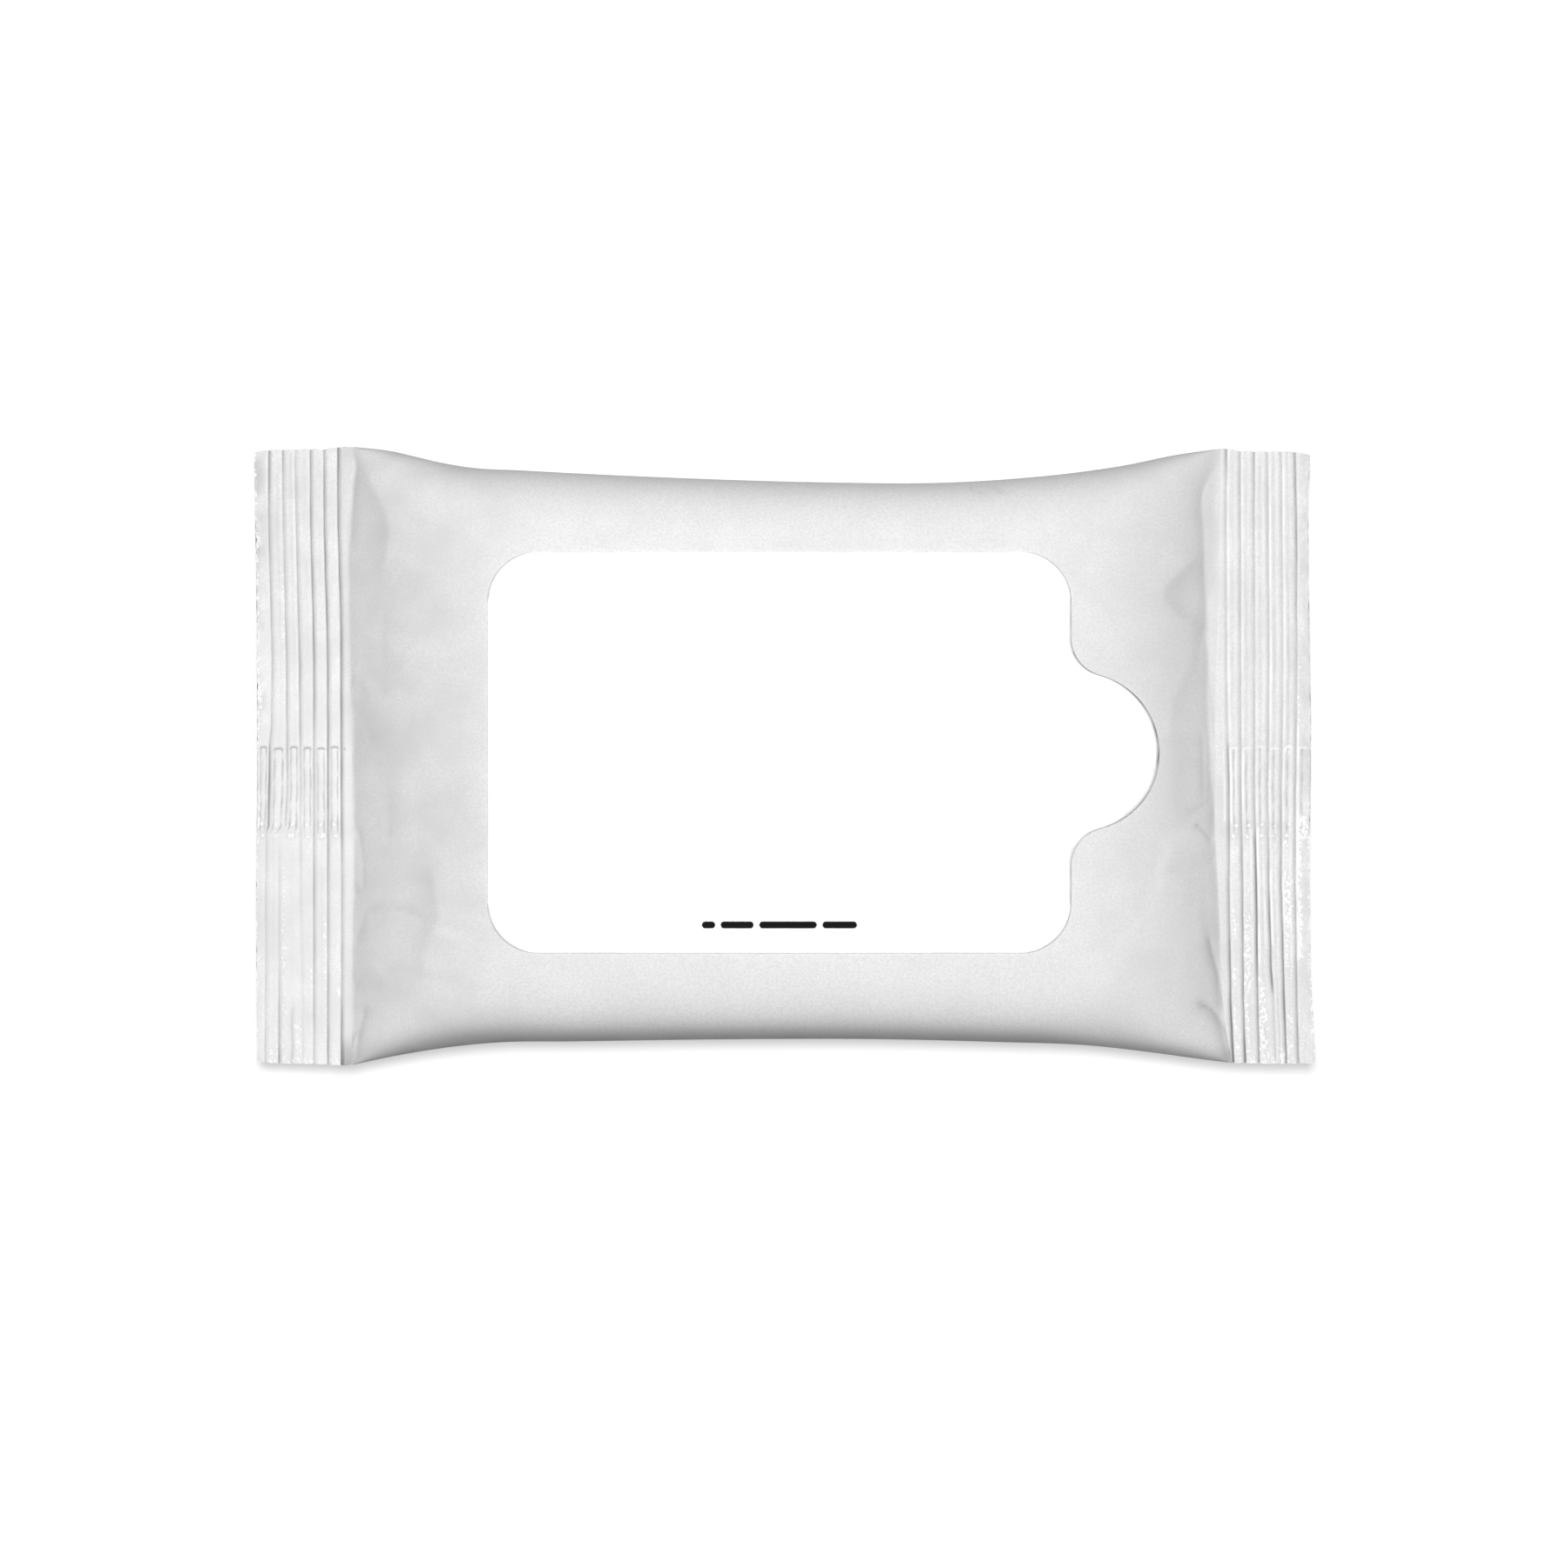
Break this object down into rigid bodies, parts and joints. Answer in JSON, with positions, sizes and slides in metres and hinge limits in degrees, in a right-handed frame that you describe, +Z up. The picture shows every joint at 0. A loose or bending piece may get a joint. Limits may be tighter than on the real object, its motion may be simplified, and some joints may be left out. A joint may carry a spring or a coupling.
{
  "type": "wet wipes pack",
  "caption": "Flow-wrapped travel pack of wet wipes lying on its back: pillow-shaped film pouch, ribbed end seals, folded back fin and a white peel-back label with a round pull tab.",
  "frame": {"origin": "on the table the pack lies on, under the middle of its length and width", "axes": "+X along the pack towards the end that the label's pull tab points to, +Y across it, away from the side the back fin is folded to, +Z up through the label"},
  "size_m": [0.14, 0.0816, 0.0155],
  "materials": {
    "film": "satin white wrapping film",
    "label": "plain white self-adhesive label, faint sheen"
  },
  "bodies": {
    "root": {"film_pack": "film", "peel_label": "label"}
  },
  "joints": []
}
